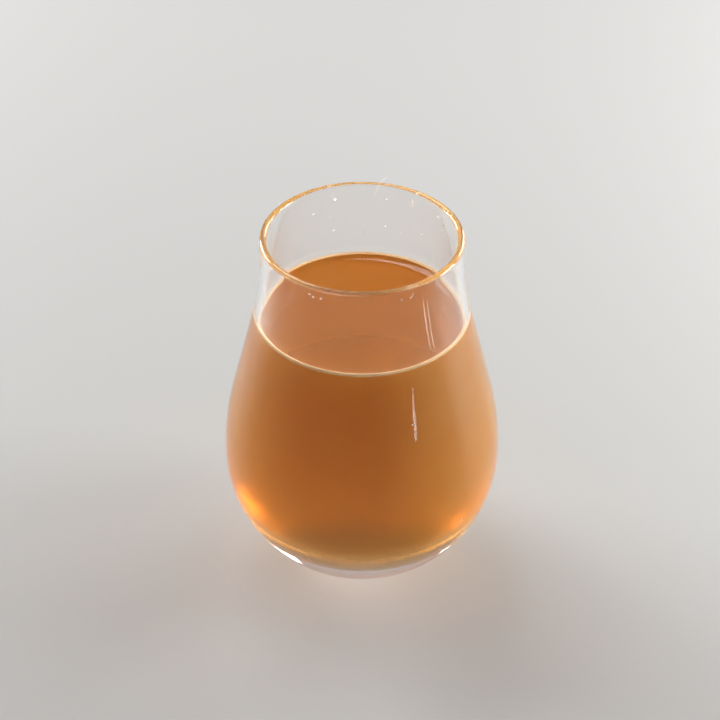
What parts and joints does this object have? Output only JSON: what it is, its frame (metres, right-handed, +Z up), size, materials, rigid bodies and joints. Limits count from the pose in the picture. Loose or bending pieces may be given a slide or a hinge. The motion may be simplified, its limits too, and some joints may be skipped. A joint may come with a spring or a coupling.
{
  "type": "filled cocktail tasting glass",
  "caption": "Stemless tulip-shaped clear glass with a thick base, round belly and narrower upright neck, filled most of the way with a short golden amber cocktail",
  "frame": {"origin": "middle of the foot, on the table", "axes": "+Z is up and is the axis that both pieces are turned around; X and Y are free"},
  "size_m": [0.0712, 0.0712, 0.096],
  "materials": {
    "clear_glass": "smooth polished clear glass, a few tiny drips and a loose fibre near the lip",
    "amber_drink": "slightly hazy golden amber drink with a still, glossy surface and a fine meniscus line"
  },
  "bodies": {
    "root": {"glass": "clear_glass", "drink": "amber_drink"}
  },
  "joints": []
}
